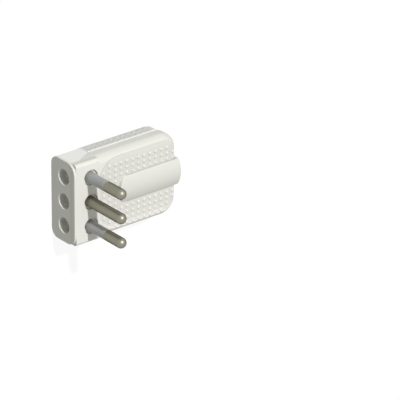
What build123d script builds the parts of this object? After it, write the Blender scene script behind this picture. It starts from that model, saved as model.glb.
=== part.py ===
from build123d import *

import os

os.makedirs("parts", exist_ok=True)

# The plug lies on its flat back. X runs from the socket end to the cord outlet, Y along the row
# of pins, and Z from the back to the pin tips. The origin is on the back, under the middle.
# All sizes are in millimetres, and every setback is counted from the socket end.

# Pins, in one row across the head
pin_pitch = 9.5
pin_diameter = 4.0
pin_length = 19.0
pin_setback = 7.4
pin_neck_diameter = 3.0
pin_collar_diameter = 4.4
pin_collar_rise = 0.1
pin_flange_diameter = 5.4
pin_flange_height = 0.7
pin_tail_diameter = 2.4
sleeve_length = 9.5
pin_recess_diameter = 6.1
pin_recess_depth = 1.0

# Head, the square end with the pins on its front and the socket entries in its end face
head_length = 11.1
head_width = 31.8
head_thickness = 13.5
head_edge_radius = 1.3
head_back_radius = 3.4
face_thickness = 0.8
face_front_radius = 4.2

# Grip, the flat part that is held, wider than the head by the flare on each side
grip_end_setback = 47.0
grip_flare = 0.1
grip_thickness = 12.8
grip_corner_radius = 6.4
grip_edge_radius = 3.0
grip_back_radius = 2.2
ramp_setback = 4.2
rim_width = 0.6
rim_step = 0.45
rim_proud = 0.15

# Seam between the covers: high at the head, low along the grip
seam_z = 7.1
seam_head_z = 10.6

# Field of grip bumps, sunk into the grip's front
field_margin = 1.5
field_corner_radius = 9.4
field_depth = 0.35
field_wall_angle = 60.0

# Cord channel bulge on the grip's front, and the round outlet at its end
bulge_setback = 20.5
bulge_width = 10.2
bulge_nose_radius = 4.0
bulge_crest_z = 14.0
outlet_length = 1.2
outlet_edge_radius = 0.8
cord_hole_diameter = 7.6

# Walls and clearances
floor_thickness = 1.8
side_wall = 1.9
end_wall = 1.9
inner_corner_radius = 4.0
block_clearance = 0.15

# Socket block and the spring tubes behind its entries
socket_z = 7.2
entry_diameter = 5.7
entry_rim_diameter = 6.3
entry_depth = 3.2
tube_outer_diameter = 5.2
tube_bore_diameter = 4.1
tube_length = 17.2
tube_pad_width = 3.0
tube_pad_clearance = 0.2
tube_slit_width = 0.6
tube_slit_length = 11.0
tube_mouth_chamfer = 0.3
block_length = 21.0

# Contact strips and terminals
strip_width = 4.4
strip_thickness = 1.0
strip_clearance = 0.1
terminal_setback = 26.2
terminal_length = 5.6
terminal_width = 5.4
terminal_height = 5.1
terminal_edge = 0.4
wire_hole_diameter = 2.4
wire_hole_drop = 2.0
barrier_thickness = 1.2
barrier_length = 9.0
barrier_height = 4.6

# Cord clamp, a saddle bar held by two screws
clamp_setback = 41.4
clamp_length = 3.6
clamp_thickness = 1.2
clamp_saddle_radius = 3.4
clamp_ear_z = 5.2
clamp_half_span = 8.9
clamp_screw_y = 6.7
clamp_post_diameter = 4.4

# Screws
terminal_screw_diameter = 3.0
terminal_screw_length = 2.2
terminal_screw_head = 4.6
terminal_screw_head_height = 1.6
clamp_screw_diameter = 2.2
clamp_screw_length = 4.6
clamp_screw_head = 4.0
clamp_screw_head_height = 1.3
cover_screw_setback = 35.0
cover_screw_y = 9.8
cover_screw_diameter = 2.8
cover_screw_length = 8.2
cover_screw_head = 4.8
cover_screw_head_height = 1.5
cover_screw_counterbore = 5.4
cover_screw_seat_z = 2.2
cover_screw_clearance = 0.15
cover_boss_diameter = 6.4
driver_slot_width = 0.7
driver_slot_depth = 0.7

# How far a cut runs past the surface that it opens
overrun = 1.0

# Levels and places worked out from the sizes above
grip_width = head_width + 2 * grip_flare
field_width = grip_width - 2 * field_margin
socket_end_x = -(grip_end_setback + outlet_length) / 2
face_x = socket_end_x + face_thickness
entry_end_x = socket_end_x + entry_depth
ramp_start_x = socket_end_x + ramp_setback
pin_x = socket_end_x + pin_setback
head_end_x = socket_end_x + head_length
bulge_start_x = socket_end_x + bulge_setback
block_end_x = socket_end_x + block_length
terminal_x = socket_end_x + terminal_setback
cover_screw_x = socket_end_x + cover_screw_setback
clamp_x = socket_end_x + clamp_setback
grip_end_x = socket_end_x + grip_end_setback
cavity_end_x = grip_end_x - end_wall
outlet_end_x = grip_end_x + outlet_length
strip_end_x = terminal_x + terminal_length / 2
pin_radius = pin_diameter / 2
pin_tip_z = head_thickness + pin_length
pin_rows = {"upper": pin_pitch, "earth": 0.0, "lower": -pin_pitch}
outer_rows = {row: y for row, y in pin_rows.items() if row != "earth"}
tube_radius = tube_outer_diameter / 2
strip_z = socket_z + tube_radius
strip_top_z = strip_z + strip_thickness
flange_top_z = strip_top_z + pin_flange_height
collar_top_z = head_thickness - pin_recess_depth + pin_collar_rise
sleeve_end_z = head_thickness + sleeve_length
cavity_half_width = head_width / 2 - side_wall
terminal_z = strip_z - terminal_height
wire_hole_z = strip_z - wire_hole_drop
rim_z = seam_z - rim_width
field_z = grip_thickness - field_depth
outlet_radius = bulge_width / 2


def grip_outline(start_x, inset=0.0):
    """Plan of the grip from start_x on, with two round far corners."""
    with BuildSketch() as outline:
        with Locations((start_x, 0)):
            Rectangle(
                grip_end_x - inset - start_x,
                grip_width - 2 * inset,
                align=(Align.MIN, Align.CENTER),
            )
        fillet(outline.vertices().group_by(Axis.X)[-1], grip_corner_radius - inset)
    return outline.sketch


def cavity_outline():
    """Plan of the room inside the covers, open towards the socket block's face."""
    with BuildSketch() as outline:
        with Locations((face_x, 0)):
            Rectangle(cavity_end_x - face_x, 2 * cavity_half_width, align=(Align.MIN, Align.CENTER))
        fillet(outline.vertices().group_by(Axis.X)[-1], inner_corner_radius)
    return outline.sketch


def edges_round(face):
    """The edges of a flat grip face, without the one across the head."""
    return face.outer_wire().edges().sort_by(Axis.X)[1:]


def screw_from_back(x, y, seat_z, diameter, length, head_diameter, head_height):
    """A slotted screw driven from the back, with its head seated at seat_z."""
    with BuildPart() as screw:
        with Locations((x, y, seat_z)):
            Cylinder(diameter / 2, length, align=(Align.CENTER, Align.CENTER, Align.MIN))
            Cylinder(head_diameter / 2, head_height, align=(Align.CENTER, Align.CENTER, Align.MAX))
        with Locations((x, y, seat_z - head_height)):
            Box(
                head_diameter,
                driver_slot_width,
                driver_slot_depth * 2,
                mode=Mode.SUBTRACT,
            )
    return screw


# Socket block: face plate at the end, and the block that holds the spring tubes
with BuildPart() as socket_block:
    with BuildSketch(Plane.YZ.offset(socket_end_x)) as face_outline:
        with Locations((0, head_thickness / 2)):
            Rectangle(head_width, head_thickness)
        fillet(face_outline.vertices().group_by(Axis.Y)[-1], face_front_radius)
        fillet(face_outline.vertices().group_by(Axis.Y)[0], head_back_radius)
    extrude(amount=face_thickness)
    with BuildSketch(Plane.YZ.offset(face_x)):
        with Locations((0, (floor_thickness + strip_top_z) / 2)):
            Rectangle(2 * (cavity_half_width - block_clearance), strip_top_z - floor_thickness)
    extrude(amount=block_end_x - face_x)
    entry_plane = Plane(origin=(socket_end_x, 0, socket_z), x_dir=(0, 1, 0), z_dir=(-1, 0, 0))
    with Locations(entry_plane):
        with GridLocations(pin_pitch, 0, 3, 1):
            CounterSinkHole(
                entry_diameter / 2,
                entry_rim_diameter / 2,
                depth=entry_depth,
                counter_sink_angle=90,
            )
    with BuildSketch(Plane.YZ.offset(entry_end_x)):
        with Locations((0, socket_z)):
            with GridLocations(pin_pitch, 0, 3, 1):
                Circle(tube_radius)
                Rectangle(
                    tube_pad_width + 2 * tube_pad_clearance,
                    tube_radius,
                    align=(Align.CENTER, Align.MIN),
                )
    extrude(amount=block_end_x - entry_end_x, mode=Mode.SUBTRACT)
    with BuildSketch(Plane.XY.offset(strip_z)):
        with Locations((pin_x, 0)):
            with GridLocations(0, pin_pitch, 1, 3):
                Circle(strip_width / 2 + strip_clearance)
                Rectangle(
                    block_end_x - pin_x,
                    strip_width + 2 * strip_clearance,
                    align=(Align.MIN, Align.CENTER),
                )
    extrude(amount=strip_thickness, mode=Mode.SUBTRACT)
socket_block.part.label = "socket_block"
export_step(socket_block.part, "parts/socket_block.step")

# Form of the back cover's grip, stepped in below the rim and rounded at the back
with BuildPart() as grip_back_form:
    with BuildSketch():
        add(grip_outline(head_end_x, rim_step))
    extrude(amount=rim_z)
    fillet(edges_round(grip_back_form.faces().sort_by(Axis.Z)[0]), grip_back_radius)
    with BuildSketch(Plane.XY.offset(rim_z)):
        add(grip_outline(head_end_x, -rim_proud))
    extrude(amount=rim_width)

# Back cover: the deep shell behind the seam
with BuildPart() as back_cover:
    with BuildSketch():
        with Locations((face_x, 0)):
            Rectangle(head_end_x - face_x, head_width, align=(Align.MIN, Align.CENTER))
    extrude(amount=seam_head_z)
    fillet(back_cover.edges().filter_by(Axis.X).group_by(Axis.Z)[0], head_back_radius)
    with BuildSketch(Plane.XZ):
        with BuildLine():
            Polyline(
                (ramp_start_x, seam_head_z),
                (head_end_x, seam_z),
                (head_end_x, seam_head_z),
                close=True,
            )
        make_face()
    extrude(amount=head_width, both=True, mode=Mode.SUBTRACT)
    add(grip_back_form.part)
    with Locations((grip_end_x - grip_corner_radius, 0, seam_z)):
        Cylinder(
            outlet_radius,
            grip_corner_radius + outlet_length,
            rotation=(0, 90, 0),
            align=(Align.CENTER, Align.CENTER, Align.MIN),
        )
    fillet(back_cover.faces().sort_by(Axis.X)[-1].outer_wire().edges(), outlet_edge_radius)
    with BuildSketch(Plane.XY.offset(seam_z)):
        with Locations((head_end_x, 0)):
            Rectangle(
                outlet_end_x + overrun - head_end_x,
                2 * (outlet_radius + overrun),
                align=(Align.MIN, Align.CENTER),
            )
    extrude(amount=outlet_radius + overrun, mode=Mode.SUBTRACT)
    with BuildSketch(Plane.XY.offset(floor_thickness)):
        add(cavity_outline())
    extrude(amount=seam_head_z, mode=Mode.SUBTRACT)
    with Locations((cover_screw_x, 0, floor_thickness)):
        with GridLocations(0, 2 * cover_screw_y, 1, 2):
            Cylinder(
                cover_boss_diameter / 2,
                seam_z - floor_thickness,
                align=(Align.CENTER, Align.CENTER, Align.MIN),
            )
    with Locations(Location((cover_screw_x, 0, 0), (180, 0, 0))):
        with GridLocations(0, 2 * cover_screw_y, 1, 2):
            CounterBoreHole(
                cover_screw_diameter / 2 + cover_screw_clearance,
                cover_screw_counterbore / 2,
                cover_screw_seat_z,
                depth=seam_z,
            )
    with Locations(Location((outlet_end_x, 0, seam_z), (0, 90, 0))):
        Hole(cord_hole_diameter / 2, depth=outlet_end_x - cavity_end_x)
back_cover.part.label = "back_cover"
export_step(back_cover.part, "parts/back_cover.step")

# Form of the front cover's grip, with round front edges and the sunk field
with BuildPart() as grip_front_form:
    with BuildSketch(Plane.XY.offset(seam_z)):
        add(grip_outline(head_end_x))
        with BuildLine():
            Polyline(
                (head_end_x, grip_width / 2),
                (ramp_start_x, head_width / 2),
                (ramp_start_x, -head_width / 2),
                (head_end_x, -grip_width / 2),
                close=True,
            )
        make_face()
    extrude(amount=grip_thickness - seam_z)
    fillet(edges_round(grip_front_form.faces().sort_by(Axis.Z)[-1]), grip_edge_radius)
    with BuildSketch(Plane.XY.offset(grip_thickness)) as field_outline:
        with Locations((head_end_x, 0)):
            Rectangle(outlet_end_x - head_end_x, field_width, align=(Align.MIN, Align.CENTER))
        fillet(field_outline.vertices().group_by(Axis.X)[0], field_corner_radius)
    extrude(amount=-field_depth, taper=field_wall_angle, mode=Mode.SUBTRACT)

# Front cover: plateau with the pins' holes, grip, cord channel bulge and half of the outlet
with BuildPart() as front_cover:
    with BuildSketch(Plane.XY.offset(seam_z)):
        with Locations((face_x, 0)):
            Rectangle(head_end_x - face_x, head_width, align=(Align.MIN, Align.CENTER))
    extrude(amount=head_thickness - seam_z)
    fillet(front_cover.edges().filter_by(Axis.X).group_by(Axis.Z)[-1], head_edge_radius)
    add(grip_front_form.part)
    with BuildSketch(Plane.XY.offset(seam_z)) as bulge_outline:
        with Locations((bulge_start_x, 0)):
            Rectangle(outlet_end_x - bulge_start_x, bulge_width, align=(Align.MIN, Align.CENTER))
        fillet(bulge_outline.vertices().group_by(Axis.X)[0], bulge_nose_radius)
    extrude(amount=bulge_crest_z - seam_z)
    with BuildSketch(Plane.YZ.offset(bulge_start_x)):
        with BuildLine():
            ThreePointArc(
                (-bulge_width / 2, field_z),
                (0, bulge_crest_z),
                (bulge_width / 2, field_z),
            )
            Polyline(
                (bulge_width / 2, field_z),
                (bulge_width / 2, bulge_crest_z + overrun),
                (-bulge_width / 2, bulge_crest_z + overrun),
                (-bulge_width / 2, field_z),
            )
        make_face()
    extrude(amount=outlet_end_x - bulge_start_x, mode=Mode.SUBTRACT)
    outlet_face = front_cover.faces().sort_by(Axis.X)[-1]
    fillet(outlet_face.outer_wire().edges().sort_by(Axis.Z)[1:], outlet_edge_radius)
    with BuildSketch(Plane.XZ):
        with BuildLine():
            Polyline(
                (socket_end_x, 0),
                (outlet_end_x + overrun, 0),
                (outlet_end_x + overrun, seam_z),
                (head_end_x, seam_z),
                (ramp_start_x, seam_head_z),
                (socket_end_x, seam_head_z),
                close=True,
            )
        make_face()
    extrude(amount=head_width, both=True, mode=Mode.SUBTRACT)
    with BuildSketch(Plane.XY.offset(seam_z)):
        add(cavity_outline())
    extrude(amount=strip_top_z - seam_z, mode=Mode.SUBTRACT)
    with Locations((block_end_x, 0, strip_top_z)):
        with GridLocations(0, pin_pitch, 1, 2):
            Box(
                barrier_length,
                barrier_thickness,
                barrier_height,
                align=(Align.MIN, Align.CENTER, Align.MAX),
            )
    with Locations((cover_screw_x, 0, seam_z)):
        with GridLocations(0, 2 * cover_screw_y, 1, 2):
            Cylinder(
                cover_boss_diameter / 2,
                strip_top_z - seam_z,
                align=(Align.CENTER, Align.CENTER, Align.MIN),
            )
            Cylinder(
                cover_screw_diameter / 2,
                cover_screw_seat_z + cover_screw_length - seam_z,
                align=(Align.CENTER, Align.CENTER, Align.MIN),
                mode=Mode.SUBTRACT,
            )
    with Locations((clamp_x, 0, clamp_ear_z + clamp_thickness)):
        with GridLocations(0, 2 * clamp_screw_y, 1, 2):
            Cylinder(
                clamp_post_diameter / 2,
                strip_top_z - clamp_ear_z - clamp_thickness,
                align=(Align.CENTER, Align.CENTER, Align.MIN),
            )
            Cylinder(
                clamp_screw_diameter / 2,
                clamp_screw_length - clamp_thickness,
                align=(Align.CENTER, Align.CENTER, Align.MIN),
                mode=Mode.SUBTRACT,
            )
    with Locations((pin_x, 0, head_thickness)):
        with GridLocations(0, pin_pitch, 1, 3):
            CounterBoreHole(
                pin_collar_diameter / 2,
                pin_recess_diameter / 2,
                pin_recess_depth,
                depth=head_thickness,
            )
    with Locations((pin_x, 0, strip_top_z)):
        with GridLocations(0, pin_pitch, 1, 3):
            Cylinder(
                pin_flange_diameter / 2,
                pin_flange_height,
                align=(Align.CENTER, Align.CENTER, Align.MIN),
                mode=Mode.SUBTRACT,
            )
    with Locations(Location((outlet_end_x, 0, seam_z), (0, 90, 0))):
        Hole(cord_hole_diameter / 2, depth=outlet_end_x - cavity_end_x)
front_cover.part.label = "front_cover"
export_step(front_cover.part, "parts/front_cover.step")

# Pins: a tail riveted into the strip, a flange under the front cover, a collar that fills the
# cover's hole and stands just clear of the recess, and a domed tip
for row, y in pin_rows.items():
    with BuildPart() as pin:
        with BuildSketch(Plane(origin=(pin_x, y, 0), x_dir=(1, 0, 0), z_dir=(0, -1, 0))):
            with BuildLine():
                Polyline(
                    (0, pin_tip_z),
                    (0, strip_z),
                    (pin_tail_diameter / 2, strip_z),
                    (pin_tail_diameter / 2, strip_top_z),
                    (pin_flange_diameter / 2, strip_top_z),
                    (pin_flange_diameter / 2, flange_top_z),
                    (pin_collar_diameter / 2, flange_top_z),
                    (pin_collar_diameter / 2, collar_top_z),
                    (pin_radius, collar_top_z),
                    (pin_radius, pin_tip_z - pin_radius),
                )
                RadiusArc((pin_radius, pin_tip_z - pin_radius), (0, pin_tip_z), -pin_radius)
            make_face()
        revolve(axis=Axis((pin_x, y, 0), (0, 0, 1)))
        if row in outer_rows:
            with BuildSketch(Plane.XY.offset(collar_top_z)):
                with Locations((pin_x, y)):
                    Circle(pin_radius + overrun)
                    Circle(pin_neck_diameter / 2, mode=Mode.SUBTRACT)
            extrude(amount=sleeve_end_z - collar_top_z, mode=Mode.SUBTRACT)
    pin.part.label = f"{row}_pin"
    export_step(pin.part, f"parts/{row}_pin.step")

# Insulating sleeves on the necks of the outer pins
for row, y in outer_rows.items():
    with BuildPart() as pin_sleeve:
        with BuildSketch(Plane.XY.offset(collar_top_z)):
            with Locations((pin_x, y)):
                Circle(pin_radius)
                Circle(pin_neck_diameter / 2, mode=Mode.SUBTRACT)
        extrude(amount=sleeve_end_z - collar_top_z)
    pin_sleeve.part.label = f"{row}_pin_sleeve"
    export_step(pin_sleeve.part, f"parts/{row}_pin_sleeve.step")

for row, y in pin_rows.items():
    # Spring tube behind the entry, with a flat pad under the strip and two slits
    with BuildPart() as socket_contact:
        with BuildSketch(Plane.YZ.offset(entry_end_x)):
            with Locations((y, socket_z)):
                Circle(tube_radius)
                Rectangle(tube_pad_width, tube_radius, align=(Align.CENTER, Align.MIN))
                Circle(tube_bore_diameter / 2, mode=Mode.SUBTRACT)
        extrude(amount=tube_length)
        mouth = socket_contact.edges().filter_by(GeomType.CIRCLE).sort_by(Axis.X)
        chamfer(mouth.group_by(Axis.X)[0].sort_by(SortBy.RADIUS)[0], tube_mouth_chamfer)
        with Locations((entry_end_x, y, socket_z)):
            Box(
                tube_slit_length,
                tube_outer_diameter + overrun,
                tube_slit_width,
                align=(Align.MIN, Align.CENTER, Align.CENTER),
                mode=Mode.SUBTRACT,
            )
    socket_contact.part.label = f"{row}_socket_contact"
    export_step(socket_contact.part, f"parts/{row}_socket_contact.step")

    # Strip from the pin's tail to the terminal
    with BuildPart() as contact_strip:
        with BuildSketch(Plane.XY.offset(strip_z)):
            with Locations((pin_x, y)):
                Circle(strip_width / 2)
                Rectangle(strip_end_x - pin_x, strip_width, align=(Align.MIN, Align.CENTER))
                Circle(pin_tail_diameter / 2, mode=Mode.SUBTRACT)
        extrude(amount=strip_thickness)
    contact_strip.part.label = f"{row}_contact_strip"
    export_step(contact_strip.part, f"parts/{row}_contact_strip.step")

    # Terminal block under the strip's end
    with BuildPart() as terminal:
        with Locations((terminal_x, y, terminal_z)):
            Box(
                terminal_length,
                terminal_width,
                terminal_height,
                align=(Align.CENTER, Align.CENTER, Align.MIN),
            )
        chamfer(terminal.edges().filter_by(Axis.Z), terminal_edge)
        with Locations(Location((strip_end_x, y, wire_hole_z), (0, 90, 0))):
            Hole(wire_hole_diameter / 2, depth=terminal_length)
        with Locations(Location((terminal_x, y, terminal_z), (180, 0, 0))):
            Hole(terminal_screw_diameter / 2, depth=wire_hole_z - terminal_z)
    terminal.part.label = f"{row}_terminal"
    export_step(terminal.part, f"parts/{row}_terminal.step")

    terminal_screw = screw_from_back(
        terminal_x,
        y,
        terminal_z,
        terminal_screw_diameter,
        terminal_screw_length,
        terminal_screw_head,
        terminal_screw_head_height,
    )
    terminal_screw.part.label = f"{row}_terminal_screw"
    export_step(terminal_screw.part, f"parts/{row}_terminal_screw.step")

# Cord clamp: a half round saddle between two flat ears
with BuildPart() as cord_clamp:
    with BuildSketch(Plane.YZ.offset(clamp_x - clamp_length / 2)):
        with Locations((0, clamp_ear_z + clamp_thickness / 2)):
            Rectangle(2 * clamp_half_span, clamp_thickness)
        with Locations((0, seam_z)):
            Circle(clamp_saddle_radius + clamp_thickness)
            Circle(clamp_saddle_radius, mode=Mode.SUBTRACT)
        with Locations((0, clamp_ear_z + clamp_thickness)):
            Rectangle(
                2 * (clamp_saddle_radius + clamp_thickness + overrun),
                2 * (clamp_saddle_radius + clamp_thickness),
                align=(Align.CENTER, Align.MIN),
                mode=Mode.SUBTRACT,
            )
    extrude(amount=clamp_length)
    with Locations((clamp_x, 0, clamp_ear_z + clamp_thickness)):
        with GridLocations(0, 2 * clamp_screw_y, 1, 2):
            Hole(clamp_screw_diameter / 2, depth=clamp_thickness)
cord_clamp.part.label = "cord_clamp"
export_step(cord_clamp.part, "parts/cord_clamp.step")

# Screws of the clamp and of the covers
for row, side in {"upper": 1, "lower": -1}.items():
    clamp_screw = screw_from_back(
        clamp_x,
        side * clamp_screw_y,
        clamp_ear_z,
        clamp_screw_diameter,
        clamp_screw_length,
        clamp_screw_head,
        clamp_screw_head_height,
    )
    clamp_screw.part.label = f"{row}_clamp_screw"
    export_step(clamp_screw.part, f"parts/{row}_clamp_screw.step")

    cover_screw = screw_from_back(
        cover_screw_x,
        side * cover_screw_y,
        cover_screw_seat_z,
        cover_screw_diameter,
        cover_screw_length,
        cover_screw_head,
        cover_screw_head_height,
    )
    cover_screw.part.label = f"{row}_cover_screw"
    export_step(cover_screw.part, f"parts/{row}_cover_screw.step")
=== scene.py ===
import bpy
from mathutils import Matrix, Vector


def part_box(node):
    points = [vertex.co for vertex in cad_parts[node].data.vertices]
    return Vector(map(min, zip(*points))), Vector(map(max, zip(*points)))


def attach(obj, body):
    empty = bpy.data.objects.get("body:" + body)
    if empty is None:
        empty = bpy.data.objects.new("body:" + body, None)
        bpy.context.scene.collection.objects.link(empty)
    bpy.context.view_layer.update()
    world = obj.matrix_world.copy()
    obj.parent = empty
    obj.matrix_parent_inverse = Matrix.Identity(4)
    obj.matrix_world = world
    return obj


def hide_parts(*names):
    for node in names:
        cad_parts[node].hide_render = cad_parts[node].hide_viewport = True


bl_info = {
    "name": "Flat Plug Finishes",
    "version": (1, 0, 0),
    "blender": (4, 5, 0),
    "location": "View3D > Sidebar > Flat Plug",
    "description": "Finishes, grip bumps, screws and stage of a flat pass-through mains plug",
    "category": "Object",
}

import math

import bmesh
import bpy
from mathutils import Vector

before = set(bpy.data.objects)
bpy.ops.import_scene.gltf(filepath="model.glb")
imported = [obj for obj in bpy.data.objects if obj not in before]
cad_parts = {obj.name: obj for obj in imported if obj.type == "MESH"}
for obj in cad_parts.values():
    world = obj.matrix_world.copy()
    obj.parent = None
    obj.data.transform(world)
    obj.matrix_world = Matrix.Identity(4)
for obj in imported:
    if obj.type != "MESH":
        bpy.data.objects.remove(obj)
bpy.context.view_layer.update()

MM = 0.001

# The head ends in a square plateau, and the grip's sunk field starts under that plateau's edge.
HEAD_END = -13.0 * MM
GRIP_END = 22.9 * MM
SEAM_LEVEL = 7.1 * MM
FRONT_LEVEL = 12.8 * MM
CHANNEL_START = -3.6 * MM
PIN_LENGTH = 19 * MM

# Half width of the cord channel's bulge, and the roughness of a coarsely eroded zone.
CHANNEL_HALF = 5.1 * MM
ERODED_ROUGHNESS = 0.65

WHITE = (1.0, 1.0, 1.0, 1.0)


def linear(hex_colour):
    """An sRGB hex colour as the linear red, green and blue that shaders and lamps take."""
    channels = []
    for place in (1, 3, 5):
        value = int(hex_colour[place:place + 2], 16) / 255
        if value <= 0.04045:
            channels.append(value / 12.92)
        else:
            channels.append(((value + 0.055) / 1.055) ** 2.4)
    return tuple(channels)


def add_node(tree, kind, inputs=None, **settings):
    """Add a node with its settings, and give each named input a value or a link from a socket."""
    node = tree.nodes.new(kind)
    for name, value in settings.items():
        setattr(node, name, value)
    for name, value in (inputs or {}).items():
        socket = node.inputs[name]
        if isinstance(value, bpy.types.NodeSocket):
            tree.links.new(value, socket)
        else:
            socket.default_value = value
    return node


def opaque(colour):
    """A linear colour with full alpha, as a colour socket takes it."""
    return (*colour, 1.0)


class PlugFinishSettings(bpy.types.PropertyGroup):
    """Colours and gloss of the plug's plastics and metals"""

    housing_colour: bpy.props.FloatVectorProperty(
        name="Housing Colour",
        description="White of the moulded covers and of the socket block",
        subtype="COLOR",
        size=3,
        min=0.0,
        max=1.0,
        default=linear("#ECECE7"),
    )
    # The back cover's base is set whiter than the housing colour.
    back_cover_white: bpy.props.FloatVectorProperty(
        name="Polished Colour",
        description="White of the back cover, which comes from a polished tool",
        subtype="COLOR",
        size=3,
        min=0.0,
        max=1.0,
        default=linear("#FAFAF6"),
    )
    housing_roughness: bpy.props.FloatProperty(
        name="Housing Roughness",
        description="Roughness of the moulded white plastic",
        subtype="FACTOR",
        min=0.0,
        max=1.0,
        default=0.65,
    )
    sleeve_colour: bpy.props.FloatVectorProperty(
        name="Sleeve Colour",
        description="Grey of the insulating sleeves at the roots of the outer pins",
        subtype="COLOR",
        size=3,
        min=0.0,
        max=1.0,
        default=linear("#A8AAAA"),
    )
    pin_colour: bpy.props.FloatVectorProperty(
        name="Pin Colour",
        description="Nickel plating of the pins",
        subtype="COLOR",
        size=3,
        min=0.0,
        max=1.0,
        default=linear("#969586"),
    )
    contact_colour: bpy.props.FloatVectorProperty(
        name="Contact Colour",
        description="Bare brass of the strips and terminals",
        subtype="COLOR",
        size=3,
        min=0.0,
        max=1.0,
        default=linear("#C9A95F"),
    )
    screw_colour: bpy.props.FloatVectorProperty(
        name="Screw Colour",
        description="Zinc plating of the screws",
        subtype="COLOR",
        size=3,
        min=0.0,
        max=1.0,
        default=linear("#C3C5C6"),
    )


class PlugBumpSettings(bpy.types.PropertyGroup):
    """Sizes of the grip bumps on the front field and on the sides of the back cover"""

    column_spacing: bpy.props.FloatProperty(
        name="Column Spacing",
        description="From bump to bump along the plug",
        unit="LENGTH",
        default=2.6 * MM,
    )
    row_spacing: bpy.props.FloatProperty(
        name="Row Spacing",
        description="From bump to bump across the plug",
        unit="LENGTH",
        default=2.2 * MM,
    )
    diameter: bpy.props.FloatProperty(
        name="Bump Diameter",
        description="Width of one bump at its foot",
        unit="LENGTH",
        default=1.4 * MM,
    )
    height: bpy.props.FloatProperty(
        name="Bump Height",
        description="How far a bump stands out of the field",
        unit="LENGTH",
        default=0.34 * MM,
    )
    side_height: bpy.props.FloatProperty(
        name="Side Bump Height",
        description="How far a bump stands out of the back cover's side",
        unit="LENGTH",
        default=0.18 * MM,
    )
    column_start: bpy.props.FloatProperty(
        name="Column Start",
        description="Place of one column of bumps along the plug, which fixes all others",
        unit="LENGTH",
        default=20.95 * MM,
    )
    smooth_strip: bpy.props.FloatProperty(
        name="Smooth Strip",
        description="Width of the smooth strip along the cord channel",
        unit="LENGTH",
        default=0.9 * MM,
    )


class PlugScrewSettings(bpy.types.PropertyGroup):
    """Slot and thread of the slotted pan head screws"""

    slot_width: bpy.props.FloatProperty(
        name="Slot Width",
        description="Width of the slot for the screwdriver",
        unit="LENGTH",
        default=0.7 * MM,
    )
    slot_depth: bpy.props.FloatProperty(
        name="Slot Depth",
        description="Depth of the slot below the top of the head",
        unit="LENGTH",
        default=0.7 * MM,
    )
    pitch: bpy.props.FloatProperty(
        name="Thread Pitch",
        description="Rise of the thread in one turn",
        unit="LENGTH",
        default=0.8 * MM,
    )


class PlugStageSettings(bpy.types.PropertyGroup):
    """Floor, lamps and camera"""

    floor_colour: bpy.props.FloatVectorProperty(
        name="Floor Colour",
        description="Grey that the floor throws back onto the plug; the camera sees it white",
        subtype="COLOR",
        size=3,
        min=0.0,
        max=1.0,
        default=linear("#8A8A8A"),
    )
    key_share: bpy.props.FloatProperty(
        name="Key Light",
        description="Light that a white surface facing the key lamp returns",
        min=0.0,
        max=2.0,
        default=0.72,
    )
    sky_share: bpy.props.FloatProperty(
        name="Sky Light",
        description="Even light from all around",
        min=0.0,
        max=2.0,
        default=0.41,
    )
    lens: bpy.props.FloatProperty(
        name="Lens",
        description="Focal length, fitted to the photograph's perspective",
        unit="CAMERA",
        default=300.0,
    )


def zone(tree, coordinates, limits):
    """A mask that is 1 inside a region: each limit names an axis, where it is 0, and where it is 1."""
    axes = dict(add_node(tree, "ShaderNodeSeparateXYZ", {"Vector": coordinates}).outputs.items())
    # Side is the distance from the plug's middle plane.
    axes["Side"] = add_node(tree, "ShaderNodeMath", {0: axes["Y"]}, operation="ABSOLUTE").outputs[0]
    mask = 1.0
    for axis, outside, inside in limits:
        edge = add_node(
            tree, "ShaderNodeMapRange", {"Value": axes[axis], "From Min": outside, "From Max": inside}
        )
        mask = add_node(
            tree, "ShaderNodeMath", {0: mask, 1: edge.outputs["Result"]}, operation="MULTIPLY"
        ).outputs[0]
    return mask


def moulded_plastic(name, colour, roughness, grain, relief, zones=()):
    """An injection moulded plastic whose surface copies the fine spark-eroded grain of its tool.

    Each zone has its limits and its tone: there the surface is duller. The tones are fitted to the
    brightness of those places in the photograph, so part of them may be shade.
    """
    material = bpy.data.materials.new(name)
    material.use_nodes = True
    tree = material.node_tree
    shader = tree.nodes["Principled BSDF"]
    coordinates = add_node(tree, "ShaderNodeTexCoord").outputs["Object"]
    # Flow of the melt leaves broad, hardly visible clouds in the tone.
    clouds = add_node(
        tree, "ShaderNodeTexNoise", {"Vector": coordinates, "Scale": 1 / (9 * MM), "Detail": 2.0}
    )
    tone = add_node(
        tree,
        "ShaderNodeMix",
        {"Factor": clouds.outputs["Fac"], "A": opaque([0.965 * c for c in colour]), "B": opaque(colour)},
        data_type="RGBA",
    )
    grains = add_node(
        tree, "ShaderNodeTexNoise", {"Vector": coordinates, "Scale": 1 / grain, "Detail": 3.0}
    )
    gloss = add_node(
        tree,
        "ShaderNodeMapRange",
        {"Value": grains.outputs["Fac"], "To Min": roughness - 0.05, "To Max": roughness + 0.05},
    )
    shade = tone.outputs["Result"]
    matt = gloss.outputs["Result"]
    for limits, zone_tone in zones:
        mask = zone(tree, coordinates, limits)
        shade = add_node(
            tree,
            "ShaderNodeMix",
            {"Factor": mask, "A": shade, "B": opaque([zone_tone * c for c in colour])},
            data_type="RGBA",
        ).outputs["Result"]
        matt = add_node(
            tree, "ShaderNodeMix", {"Factor": mask, "A": matt, "B": ERODED_ROUGHNESS}
        ).outputs["Result"]
    tree.links.new(shade, shader.inputs["Base Color"])
    tree.links.new(matt, shader.inputs["Roughness"])
    bump = add_node(
        tree, "ShaderNodeBump", {"Height": grains.outputs["Fac"], "Distance": relief, "Strength": 0.6}
    )
    tree.links.new(bump.outputs["Normal"], shader.inputs["Normal"])
    return material, shader


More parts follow.
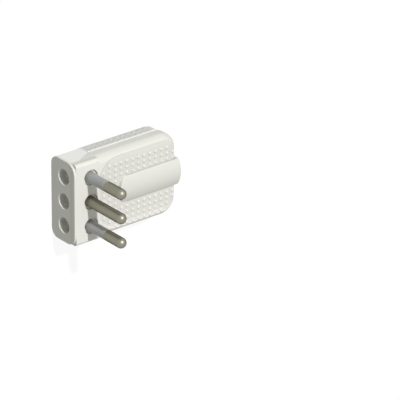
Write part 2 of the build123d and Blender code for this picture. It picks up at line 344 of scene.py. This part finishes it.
def satin_polyamide(settings):
    # Polyamide 6, injection moulded in a spark-eroded tool: dense white with a satin sheen that
    # softens every highlight. The sunk field of the grip and the top of the cord channel are painted a
    # shade darker. The rounded front edge is darkened with painted shade, and a thin line along the
    # channel's creases is painted shade. The real grain of about 0.1 mm is drawn at 0.35 mm so that it
    # shows.
    field = (
        ("Z", FRONT_LEVEL - 0.05 * MM, FRONT_LEVEL - 0.2 * MM),
        ("Z", FRONT_LEVEL - 0.45 * MM, FRONT_LEVEL - 0.38 * MM),
        ("Side", 13.6 * MM, 10.4 * MM),
        ("X", HEAD_END, HEAD_END + 0.1 * MM),
    )
    channel = (
        ("Z", FRONT_LEVEL - 0.45 * MM, FRONT_LEVEL - 0.38 * MM),
        ("Side", 5.4 * MM, 5.2 * MM),
        ("X", CHANNEL_START - 0.2 * MM, CHANNEL_START),
    )
    # Painted shade: the rounded front edge is darkened where the key light falls on it brightest.
    rounded_edge_painted_shade = (
        ("Z", FRONT_LEVEL - 2.8 * MM, FRONT_LEVEL - 1.0 * MM),
        ("Z", FRONT_LEVEL, FRONT_LEVEL - 0.8 * MM),
    )
    # Painted shade: a thin dark line along the creases where the channel's bulge meets the field.
    painted_crease_shade = (
        ("Z", FRONT_LEVEL - 0.12 * MM, FRONT_LEVEL - 0.22 * MM),
        ("Side", 4.95 * MM, 5.05 * MM),
        ("Side", 5.4 * MM, 5.3 * MM),
        ("X", CHANNEL_START + 3.0 * MM, CHANNEL_START + 4.0 * MM),
        ("X", GRIP_END, GRIP_END - 0.5 * MM),
    )
    material, shader = moulded_plastic(
        "satin_white_polyamide",
        settings.housing_colour,
        settings.housing_roughness,
        0.35 * MM,
        0.006 * MM,
        ((rounded_edge_painted_shade, 0.9), (field, 0.87), (channel, 0.87), (painted_crease_shade, 0.62)),
    )
    shader.inputs["IOR"].default_value = 1.53
    shader.inputs["Specular IOR Level"].default_value = 0.3
    return material


def glossy_polyamide(settings):
    # The same polyamide under a clear gloss, as a polished tool gives it, with its base colour set
    # whiter than the other covers'. Along the grip the band with bumps is dull and painted a shade
    # greyer.
    band = (
        ("Z", SEAM_LEVEL - 0.6 * MM, SEAM_LEVEL - 0.7 * MM),
        ("X", HEAD_END, HEAD_END + 0.3 * MM),
        ("Side", 13.0 * MM, 14.0 * MM),
    )
    material, shader = moulded_plastic(
        "polished_white_polyamide",
        settings.back_cover_white,
        0.22,
        0.35 * MM,
        0.003 * MM,
        ((band, 0.68),),
    )
    shader.inputs["IOR"].default_value = 1.53
    shader.inputs["Coat Weight"].default_value = 1.0
    return material


def grey_polyamide(settings):
    # Glass filled polyamide sleeve, moulded smooth: a cool grey with a tighter sheen than the covers.
    material, shader = moulded_plastic(
        "grey_sleeve_polyamide", settings.sleeve_colour, 0.36, 0.5 * MM, 0.004 * MM
    )
    shader.inputs["IOR"].default_value = 1.55
    return material


def turned_metal(name, colour, roughness, spacing, relief):
    """A plated or bare metal with the fine rings that the lathe leaves round the part's Z axis."""
    material = bpy.data.materials.new(name)
    material.use_nodes = True
    tree = material.node_tree
    shader = tree.nodes["Principled BSDF"]
    shader.inputs["Metallic"].default_value = 1.0
    coordinates = add_node(tree, "ShaderNodeTexCoord").outputs["Object"]
    # A wave's rings repeat every 2 pi / 20 units at scale 1.
    rings = add_node(
        tree,
        "ShaderNodeTexWave",
        {"Vector": coordinates, "Scale": math.pi / 10 / spacing, "Distortion": 1.5, "Detail": 2.0},
        bands_direction="Z",
    )
    stains = add_node(
        tree, "ShaderNodeTexNoise", {"Vector": coordinates, "Scale": 1 / (2.5 * MM), "Detail": 4.0}
    )
    tone = add_node(
        tree,
        "ShaderNodeMix",
        {"Factor": stains.outputs["Fac"], "A": opaque([0.86 * c for c in colour]), "B": opaque(colour)},
        data_type="RGBA",
    )
    tree.links.new(tone.outputs["Result"], shader.inputs["Base Color"])
    gloss = add_node(
        tree,
        "ShaderNodeMapRange",
        {"Value": stains.outputs["Fac"], "To Min": roughness - 0.07, "To Max": roughness + 0.07},
    )
    tree.links.new(gloss.outputs["Result"], shader.inputs["Roughness"])
    bump = add_node(
        tree, "ShaderNodeBump", {"Height": rings.outputs["Fac"], "Distance": relief, "Strength": 0.5}
    )
    tree.links.new(bump.outputs["Normal"], shader.inputs["Normal"])
    return material, shader


def nickel_plated_brass(settings):
    # Turned brass with a thin dull nickel plating: a warm olive grey with soft reflections. Its base is
    # set darker than bare nickel as painted shade, standing in for dark surroundings in its
    # reflections, and the dark tint darkens it towards its edges as painted shade too. Lathe marks of
    # about 0.1 mm are drawn at 0.4 mm so that they show.
    material, shader = turned_metal(
        "nickel_plated_brass", settings.pin_colour, 0.46, 0.4 * MM, 0.002 * MM
    )
    shader.inputs["Specular Tint"].default_value = opaque(linear("#1C1C18"))
    return material


def bare_brass(settings):
    # Spring brass, stamped and rolled from strip: yellow, with a soft mill sheen.
    material, _ = turned_metal("stamped_brass", settings.contact_colour, 0.34, 0.6 * MM, 0.002 * MM)
    return material


def zinc_plated_steel(settings):
    # Cold headed steel with bright zinc: a cool silver, slightly mottled by the plating bath.
    material, _ = turned_metal("zinc_plated_steel", settings.screw_colour, 0.32, 0.5 * MM, 0.002 * MM)
    return material


def give_material(material, names):
    """Put one material in every slot of these CAD nodes."""
    for name in names:
        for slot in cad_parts[name].material_slots:
            slot.material = material


def ring(count, radius, centre, start, stop):
    """Points along an arc from the start angle to the stop angle, in degrees."""
    points = []
    for step in range(count + 1):
        angle = math.radians(start + (stop - start) * step / count)
        points.append((centre[0] + radius * math.cos(angle), centre[1] + radius * math.sin(angle)))
    return points


def field_region(settings):
    """Flat outlines of the two halves of the sunk field that carry bumps, beside the channel."""
    margin = settings.diameter / 2
    corner = 9.4 * MM - margin
    far = GRIP_END - 0.8 * MM - margin
    far_corner = 5.4 * MM
    left = HEAD_END + margin
    channel = CHANNEL_HALF + settings.smooth_strip
    nose = -3.7 * MM - margin
    halves = []
    for half_width in (12.6 * MM - margin, 14.6 * MM - margin):
        half = [(far, channel), (far, half_width - far_corner)]
        half += ring(8, far_corner, (far - far_corner, half_width - far_corner), 0, 90)
        half += ring(12, corner, (left + corner, half_width - corner), 90, 180)
        half += [(left, 0), (nose, 0), (nose, channel - 2 * MM), (nose + 2 * MM, channel)]
        halves.append(half)
    upper, wider = halves
    lower = [(x, -y) for x, y in reversed(wider)]
    return [upper, lower]


def flat_mesh(name, outlines):
    """A mesh of flat faces, one for each outline, in its own XY plane."""
    form = bmesh.new()
    for outline in outlines:
        form.faces.new([form.verts.new((x, y, 0)) for x, y in outline])
    mesh = bpy.data.meshes.new(name)
    form.to_mesh(mesh)
    form.free()
    return mesh


def bump_tree():
    """Geometry nodes: low domes on a lattice over a flat region, dropped onto the surface below it."""
    tree = bpy.data.node_groups.new("Grip Bumps", "GeometryNodeTree")
    tree.interface.new_socket(name="Region", in_out="INPUT", socket_type="NodeSocketGeometry")
    tree.interface.new_socket(name="Surface", in_out="INPUT", socket_type="NodeSocketObject")
    for name in ("Column Spacing", "Row Spacing", "Column Start", "Row Start", "Diameter", "Height"):
        tree.interface.new_socket(name=name, in_out="INPUT", socket_type="NodeSocketFloat")
    for name in ("Columns", "Rows"):
        tree.interface.new_socket(name=name, in_out="INPUT", socket_type="NodeSocketInt")
    tree.interface.new_socket(name="Turn", in_out="INPUT", socket_type="NodeSocketVector")
    tree.interface.new_socket(name="Material", in_out="INPUT", socket_type="NodeSocketMaterial")
    tree.interface.new_socket(name="Bumps", in_out="OUTPUT", socket_type="NodeSocketGeometry")
    given = add_node(tree, "NodeGroupInput").outputs

    spans = {}
    for axis, count, spacing in (("X", "Columns", "Column Spacing"), ("Y", "Rows", "Row Spacing")):
        gaps = add_node(tree, "ShaderNodeMath", {0: given[count], 1: 1.0}, operation="SUBTRACT")
        spans[axis] = add_node(
            tree, "ShaderNodeMath", {0: gaps.outputs[0], 1: given[spacing]}, operation="MULTIPLY"
        ).outputs[0]
    lattice = add_node(
        tree,
        "GeometryNodeMeshGrid",
        {
            "Size X": spans["X"],
            "Size Y": spans["Y"],
            "Vertices X": given["Columns"],
            "Vertices Y": given["Rows"],
        },
    )
    # The lattice starts 1 m up, and a ray down from each point tells if the region lies under it.
    start = add_node(
        tree, "ShaderNodeCombineXYZ", {"X": given["Column Start"], "Y": given["Row Start"], "Z": 1.0}
    )
    placed = add_node(
        tree,
        "GeometryNodeSetPosition",
        {"Geometry": lattice.outputs["Mesh"], "Offset": start.outputs[0]},
    )
    over = add_node(
        tree,
        "GeometryNodeRaycast",
        {"Target Geometry": given["Region"], "Ray Direction": (0.0, 0.0, -1.0), "Ray Length": 2.0},
    )
    missed = add_node(tree, "FunctionNodeBooleanMath", {0: over.outputs["Is Hit"]}, operation="NOT")
    kept = add_node(
        tree,
        "GeometryNodeDeleteGeometry",
        {"Geometry": placed.outputs["Geometry"], "Selection": missed.outputs[0]},
        domain="POINT",
    )
    turned = add_node(
        tree, "GeometryNodeTransform", {"Geometry": kept.outputs["Geometry"], "Rotation": given["Turn"]}
    )
    aim = add_node(
        tree,
        "ShaderNodeVectorRotate",
        {"Vector": (0.0, 0.0, -1.0), "Rotation": given["Turn"]},
        rotation_type="EULER_XYZ",
    )
    surface = add_node(tree, "GeometryNodeObjectInfo", {"Object": given["Surface"]})
    landing = add_node(
        tree,
        "GeometryNodeRaycast",
        {
            "Target Geometry": surface.outputs["Geometry"],
            "Ray Direction": aim.outputs[0],
            "Ray Length": 2.0,
        },
    )
    landed = add_node(
        tree,
        "GeometryNodeSetPosition",
        {"Geometry": turned.outputs["Geometry"], "Position": landing.outputs["Hit Position"]},
    )
    dome = add_node(tree, "GeometryNodeMeshUVSphere", {"Segments": 16, "Rings": 8, "Radius": 0.5})
    smooth = add_node(tree, "GeometryNodeSetShadeSmooth", {"Geometry": dome.outputs["Mesh"]})
    twice = add_node(tree, "ShaderNodeMath", {0: given["Height"], 1: 2.0}, operation="MULTIPLY")
    size = add_node(
        tree,
        "ShaderNodeCombineXYZ",
        {"X": given["Diameter"], "Y": given["Diameter"], "Z": twice.outputs[0]},
    )
    domes = add_node(
        tree,
        "GeometryNodeInstanceOnPoints",
        {
            "Points": landed.outputs["Geometry"],
            "Instance": smooth.outputs["Geometry"],
            "Rotation": given["Turn"],
            "Scale": size.outputs[0],
        },
    )
    real = add_node(tree, "GeometryNodeRealizeInstances", {"Geometry": domes.outputs["Instances"]})
    finished = add_node(
        tree,
        "GeometryNodeSetMaterial",
        {"Geometry": real.outputs["Geometry"], "Material": given["Material"]},
    )
    add_node(tree, "NodeGroupOutput", {"Bumps": finished.outputs["Geometry"]})
    return tree


def screw_tree():
    """Geometry nodes: a slotted pan head screw, head down, on every vertex of the source mesh."""
    tree = bpy.data.node_groups.new("Slotted Screws", "GeometryNodeTree")
    tree.interface.new_socket(name="Seats", in_out="INPUT", socket_type="NodeSocketGeometry")
    head_sizes = ("Head Diameter", "Head Height", "Slot Width", "Slot Depth")
    for name in ("Shank Diameter", "Shank Length", *head_sizes, "Pitch"):
        tree.interface.new_socket(name=name, in_out="INPUT", socket_type="NodeSocketFloat")
    tree.interface.new_socket(name="Material", in_out="INPUT", socket_type="NodeSocketMaterial")
    tree.interface.new_socket(name="Screws", in_out="OUTPUT", socket_type="NodeSocketGeometry")
    given = add_node(tree, "NodeGroupInput").outputs

    def worked(operation, first, second):
        return add_node(tree, "ShaderNodeMath", {0: first, 1: second}, operation=operation).outputs[0]

    def moved(geometry, height):
        offset = add_node(tree, "ShaderNodeCombineXYZ", {"Z": height})
        return add_node(
            tree, "GeometryNodeTransform", {"Geometry": geometry, "Translation": offset.outputs[0]}
        ).outputs["Geometry"]

    # The head is a dome, flat where it meets the shank, with the slot sawn across it. It is sawn at
    # a thousand times its size, because the solver loses faces well under a millimetre.
    enlarged = 1000.0
    head_width = worked("MULTIPLY", given["Head Diameter"], enlarged)
    head_height = worked("MULTIPLY", given["Head Height"], enlarged)
    ball = add_node(tree, "GeometryNodeMeshUVSphere", {"Segments": 40, "Rings": 20, "Radius": 0.5})
    ball_size = add_node(
        tree,
        "ShaderNodeCombineXYZ",
        {"X": head_width, "Y": head_width, "Z": worked("MULTIPLY", head_height, 2.0)},
    )
    stretched = add_node(
        tree, "GeometryNodeTransform", {"Geometry": ball.outputs["Mesh"], "Scale": ball_size.outputs[0]}
    )
    here = add_node(tree, "GeometryNodeInputPosition").outputs["Position"]
    axes = add_node(tree, "ShaderNodeSeparateXYZ", {"Vector": here}).outputs
    flattened = add_node(
        tree,
        "ShaderNodeCombineXYZ",
        {"X": axes["X"], "Y": axes["Y"], "Z": worked("MINIMUM", axes["Z"], 0.0)},
    )
    head = add_node(
        tree,
        "GeometryNodeSetPosition",
        {"Geometry": stretched.outputs["Geometry"], "Position": flattened.outputs[0]},
    )
    cut_size = add_node(
        tree,
        "ShaderNodeCombineXYZ",
        {
            "X": worked("MULTIPLY", head_width, 1.5),
            "Y": worked("MULTIPLY", given["Slot Width"], enlarged),
            "Z": worked("MULTIPLY", given["Slot Depth"], 2.0 * enlarged),
        },
    )
    cut = add_node(tree, "GeometryNodeMeshCube", {"Size": cut_size.outputs[0]})
    sawn = add_node(
        tree,
        "GeometryNodeMeshBoolean",
        {
            "Mesh 1": head.outputs["Geometry"],
            "Mesh 2": moved(cut.outputs["Mesh"], worked("MULTIPLY", head_height, -1.0)),
        },
        operation="DIFFERENCE",
    )
    slotted = add_node(
        tree, "GeometryNodeTransform", {"Geometry": sawn.outputs["Mesh"], "Scale": (1 / enlarged,) * 3}
    )

    # The shank is a core with one ridge wound round it.
    core_share = 0.42
    ridge_share = 0.5 - core_share
    core_radius = worked("MULTIPLY", given["Shank Diameter"], core_share)
    core = add_node(
        tree,
        "GeometryNodeMeshCylinder",
        {"Vertices": 24, "Radius": core_radius, "Depth": given["Shank Length"]},
    )
    ridge_radius = worked("MULTIPLY", given["Shank Diameter"], ridge_share)
    threaded = worked("SUBTRACT", given["Shank Length"], worked("MULTIPLY", ridge_radius, 4.0))
    helix = add_node(
        tree,
        "GeometryNodeCurveSpiral",
        {
            "Resolution": 20,
            "Rotations": worked("DIVIDE", threaded, given["Pitch"]),
            "Start Radius": core_radius,
            "End Radius": core_radius,
            "Height": threaded,
        },
    )
    profile = add_node(
        tree, "GeometryNodeCurvePrimitiveCircle", {"Resolution": 6, "Radius": ridge_radius}
    )
    ridge = add_node(
        tree,
        "GeometryNodeCurveToMesh",
        {"Curve": helix.outputs["Curve"], "Profile Curve": profile.outputs["Curve"], "Fill Caps": True},
    )
    joined = add_node(tree, "GeometryNodeJoinGeometry")
    for part in (
        moved(ridge.outputs["Mesh"], worked("MULTIPLY", ridge_radius, 2.0)),
        moved(core.outputs["Mesh"], worked("MULTIPLY", given["Shank Length"], 0.5)),
        slotted.outputs["Geometry"],
    ):
        tree.links.new(part, joined.inputs["Geometry"])
    placed = add_node(
        tree,
        "GeometryNodeInstanceOnPoints",
        {"Points": given["Seats"], "Instance": joined.outputs["Geometry"]},
    )
    real = add_node(tree, "GeometryNodeRealizeInstances", {"Geometry": placed.outputs["Instances"]})
    finished = add_node(
        tree,
        "GeometryNodeSetMaterial",
        {"Geometry": real.outputs["Geometry"], "Material": given["Material"]},
    )
    add_node(tree, "NodeGroupOutput", {"Screws": finished.outputs["Geometry"]})
    return tree


def grown(name, source, tree, values):
    """Run a node tree on a source mesh with these input values, and keep the plain result."""
    carrier = bpy.data.objects.new(f"{name}_source", source)
    bpy.context.scene.collection.objects.link(carrier)
    modifier = carrier.modifiers.new(tree.name, "NODES")
    modifier.node_group = tree
    for item in tree.interface.items_tree:
        if item.in_out == "INPUT" and item.name in values:
            modifier[item.identifier] = values[item.name]
    bpy.context.view_layer.update()
    evaluated = carrier.evaluated_get(bpy.context.evaluated_depsgraph_get())
    mesh = bpy.data.meshes.new_from_object(evaluated)
    mesh.name = name
    carrier.modifiers.clear()
    bpy.data.objects.remove(carrier)
    piece = bpy.data.objects.new(name, mesh)
    bpy.context.scene.collection.objects.link(piece)
    return piece


class PLUG_OT_finish_plastics(bpy.types.Operator):
    """Give the covers, the socket block, the clamp and the pin sleeves their moulded finish"""

    bl_idname = "plug.finish_plastics"
    bl_label = "Finish Plastics"

    def execute(self, context):
        settings = context.scene.plug_finish
        give_material(satin_polyamide(settings), ("front_cover", "socket_block", "cord_clamp"))
        give_material(glossy_polyamide(settings), ("back_cover",))
        give_material(grey_polyamide(settings), ("upper_pin_sleeve", "lower_pin_sleeve"))
        return {"FINISHED"}


class PLUG_OT_finish_metals(bpy.types.Operator):
    """Give the pins, the spring contacts, the strips and the terminals their metal finish"""

    bl_idname = "plug.finish_metals"
    bl_label = "Finish Metals"

    def execute(self, context):
        settings = context.scene.plug_finish
        nickel = nickel_plated_brass(settings)
        brass = bare_brass(settings)
        zinc = zinc_plated_steel(settings)
        for row in ("upper", "earth", "lower"):
            give_material(nickel, [f"{row}_pin", f"{row}_socket_contact"])
            give_material(brass, [f"{row}_contact_strip", f"{row}_terminal"])
            give_material(zinc, [f"{row}_terminal_screw"])
        for row in ("upper", "lower"):
            give_material(zinc, [f"{row}_clamp_screw", f"{row}_cover_screw"])
        return {"FINISHED"}


class PLUG_OT_make_grip_bumps(bpy.types.Operator):
    """Grow the small round bumps on the front field and along the back cover's sides"""

    bl_idname = "plug.make_grip_bumps"
    bl_label = "Make Grip Bumps"

    def execute(self, context):
        settings = context.scene.plug_bumps
        tree = bump_tree()
        columns = 16
        front_rows = 13
        side_rows = 2
        front_row_start = -0.3 * MM
        common = {
            "Column Spacing": settings.column_spacing,
            "Row Spacing": settings.row_spacing,
            "Column Start": settings.column_start - settings.column_spacing * (columns - 1) / 2,
            "Diameter": settings.diameter,
            "Height": settings.height,
            "Material": bpy.data.materials["satin_white_polyamide"],
            "Columns": columns,
        }
        front = {
            **common,
            "Rows": front_rows,
            "Row Start": front_row_start,
            "Surface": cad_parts["front_cover"],
        }
        field = flat_mesh("front_field", field_region(settings))
        pieces = [grown("front_grip_bumps", field, tree, front)]
        strip_bottom = 1.8 * MM
        strip_top = SEAM_LEVEL - 1.0 * MM
        strip_start = HEAD_END + 1.0 * MM
        strip_end = GRIP_END - 6.8 * MM
        middle = (strip_bottom + strip_top) / 2
        for row, side in (("upper", 1), ("lower", -1)):
            corners = [
                (strip_start, strip_bottom),
                (strip_end, strip_bottom),
                (strip_end, strip_top),
                (strip_start, strip_top),
            ]
            outline = [(x, -side * z) for x, z in corners[::-side]]
            band = {
                **common,
                "Material": bpy.data.materials["polished_white_polyamide"],
                "Rows": side_rows,
                "Height": settings.side_height,
                "Row Start": -side * middle,
                "Surface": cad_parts["back_cover"],
                "Turn": (-side * math.pi / 2, 0.0, 0.0),
            }
            side_field = flat_mesh(f"{row}_side_band", [outline])
            pieces.append(grown(f"{row}_side_bumps", side_field, tree, band))
        for piece in pieces:
            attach(piece, "root")
        return {"FINISHED"}


class PLUG_OT_make_screws(bpy.types.Operator):
    """Turn the cover screws, the cord clamp's screws and the terminal screws"""

    bl_idname = "plug.make_screws"
    bl_label = "Make Screws"

    def execute(self, context):
        settings = context.scene.plug_screws
        tree = screw_tree()
        # Rows of the nodes, then shank diameter, head diameter and head height.
        kinds = {
            "cover_screw": (("upper", "lower"), 2.8 * MM, 4.8 * MM, 1.5 * MM),
            "clamp_screw": (("upper", "lower"), 2.2 * MM, 4.0 * MM, 1.3 * MM),
            "terminal_screw": (("upper", "earth", "lower"), 3.0 * MM, 4.6 * MM, 1.6 * MM),
        }
        for kind, (rows, shank_diameter, head_diameter, head_height) in kinds.items():
            seats = []
            for row in rows:
                low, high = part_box(f"{row}_{kind}")
                seats.append(((low[0] + high[0]) / 2, (low[1] + high[1]) / 2, low[2] + head_height))
                shank_length = high[2] - low[2] - head_height
            points = bpy.data.meshes.new(f"{kind}_seats")
            points.from_pydata(seats, [], [])
            values = {
                "Shank Diameter": shank_diameter,
                "Shank Length": shank_length,
                "Head Diameter": head_diameter,
                "Head Height": head_height,
                "Slot Width": settings.slot_width,
                "Slot Depth": settings.slot_depth,
                "Pitch": settings.pitch,
                "Material": bpy.data.materials["zinc_plated_steel"],
            }
            piece = grown(f"{kind}s", points, tree, values)
            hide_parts(*(f"{row}_{kind}" for row in rows))
            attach(piece, "root")
        return {"FINISHED"}


class PLUG_OT_make_stage(bpy.types.Operator):
    """Set up the white floor, the studio light and the camera"""

    bl_idname = "plug.make_stage"
    bl_label = "Make Stage"

    def execute(self, context):
        settings = context.scene.plug_stage
        self.make_floor(settings)
        self.make_world(context.scene, settings)
        self.make_lamps(settings)
        self.make_camera(context.scene, settings)
        context.scene.view_settings.view_transform = "Standard"
        return {"FINISHED"}

    def seen_directly(self, tree):
        """1 for rays from the camera, from glossy surfaces and through glass, and 0 for all others."""
        rays = add_node(tree, "ShaderNodeLightPath").outputs
        mirror = add_node(
            tree,
            "ShaderNodeMath",
            {0: rays["Is Glossy Ray"], 1: rays["Is Transmission Ray"]},
            operation="MAXIMUM",
        )
        both = add_node(
            tree, "ShaderNodeMath", {0: rays["Is Camera Ray"], 1: mirror.outputs[0]}, operation="MAXIMUM"
        )
        return both.outputs[0]

    def make_floor(self, settings):
        floor_size = 6.0
        half = floor_size / 2
        mesh = flat_mesh("floor", [[(-half, -half), (half, -half), (half, half), (-half, half)]])
        floor = bpy.data.objects.new("floor", mesh)
        bpy.context.scene.collection.objects.link(floor)
        material = bpy.data.materials.new("grey_studio_paper")
        material.use_nodes = True
        tree = material.node_tree
        tree.nodes.clear()
        lit = add_node(tree, "ShaderNodeBsdfDiffuse", {"Color": opaque(settings.floor_colour)})
        # The camera sees an even white, with enough of the lit paper in it to keep the shadow. The
        # glow is above 1 because the grey paper in the mix is below it.
        shadow_share = 0.5
        glow_strength = 1.78
        glow = add_node(tree, "ShaderNodeEmission", {"Color": WHITE, "Strength": glow_strength})
        shown = add_node(
            tree, "ShaderNodeMixShader", {0: shadow_share, 1: glow.outputs[0], 2: lit.outputs[0]}
        )
        choice = add_node(
            tree,
            "ShaderNodeMixShader",
            {0: self.seen_directly(tree), 1: lit.outputs[0], 2: shown.outputs[0]},
        )
        add_node(tree, "ShaderNodeOutputMaterial", {"Surface": choice.outputs[0]})
        mesh.materials.append(material)

    def make_world(self, scene, settings):
        world = bpy.data.worlds.new("soft_studio")
        world.use_nodes = True
        tree = world.node_tree
        tree.nodes.clear()
        sky = add_node(
            tree,
            "ShaderNodeBackground",
            {"Color": opaque(linear("#FFFFF7")), "Strength": settings.sky_share},
        )
        white = add_node(tree, "ShaderNodeBackground", {"Color": WHITE, "Strength": 1.0})
        choice = add_node(
            tree,
            "ShaderNodeMixShader",
            {0: self.seen_directly(tree), 1: sky.outputs[0], 2: white.outputs[0]},
        )
        add_node(tree, "ShaderNodeOutputWorld", {"Surface": choice.outputs[0]})
        scene.world = world

    def make_lamps(self, settings):
        towards_key = Vector((-0.06, 0.60, 0.80)).normalized()
        key = bpy.data.lights.new("key", "SUN")
        key.energy = math.pi * settings.key_share
        key.angle = math.radians(3)
        key_lamp = bpy.data.objects.new("key", key)
        key_lamp.rotation_euler = towards_key.to_track_quat("Z", "Y").to_euler()
        bpy.context.scene.collection.objects.link(key_lamp)

    def make_camera(self, scene, settings):
        data = bpy.data.cameras.new("camera")
        data.lens = settings.lens
        camera = bpy.data.objects.new("camera", data)
        # Place and turn were fitted to the pins, the entries and the outlet, from the earth pin's
        # foot.
        low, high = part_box("earth_pin")
        foot = Vector(((low[0] + high[0]) / 2, (low[1] + high[1]) / 2, high[2] - PIN_LENGTH))
        camera.location = foot + Vector((-644.63, 515.92, 841.28)) * MM
        camera.rotation_euler = [math.radians(angle) for angle in (-26.366, -39.272, 0.704)]
        scene.collection.objects.link(camera)
        scene.camera = camera


class PLUG_PT_sidebar(bpy.types.Panel):
    """Lists the steps and settings of the flat plug"""

    bl_idname = "PLUG_PT_sidebar"
    bl_label = "Flat Plug"
    bl_space_type = "VIEW_3D"
    bl_region_type = "UI"
    bl_category = "Flat Plug"

    def draw(self, context):
        layout = self.layout
        for step in STEPS:
            layout.operator(step.bl_idname)
        scene = context.scene
        for settings in (scene.plug_finish, scene.plug_bumps, scene.plug_screws, scene.plug_stage):
            box = layout.box()
            for name in settings.__annotations__:
                box.prop(settings, name)


STEPS = (
    PLUG_OT_finish_plastics,
    PLUG_OT_finish_metals,
    PLUG_OT_make_grip_bumps,
    PLUG_OT_make_screws,
    PLUG_OT_make_stage,
)
SETTINGS = (PlugFinishSettings, PlugBumpSettings, PlugScrewSettings, PlugStageSettings)
CLASSES = (*SETTINGS, *STEPS, PLUG_PT_sidebar)


def register():
    for cls in CLASSES:
        bpy.utils.register_class(cls)
    bpy.types.Scene.plug_finish = bpy.props.PointerProperty(type=PlugFinishSettings)
    bpy.types.Scene.plug_bumps = bpy.props.PointerProperty(type=PlugBumpSettings)
    bpy.types.Scene.plug_screws = bpy.props.PointerProperty(type=PlugScrewSettings)
    bpy.types.Scene.plug_stage = bpy.props.PointerProperty(type=PlugStageSettings)


def unregister():
    del bpy.types.Scene.plug_stage
    del bpy.types.Scene.plug_screws
    del bpy.types.Scene.plug_bumps
    del bpy.types.Scene.plug_finish
    for cls in reversed(CLASSES):
        bpy.utils.unregister_class(cls)


def main():
    register()
    bpy.ops.plug.finish_plastics()
    bpy.ops.plug.finish_metals()
    bpy.ops.plug.make_grip_bumps()
    bpy.ops.plug.make_screws()
    bpy.ops.plug.make_stage()
    bpy.context.view_layer.update()


if __name__ == "__main__":
    main()
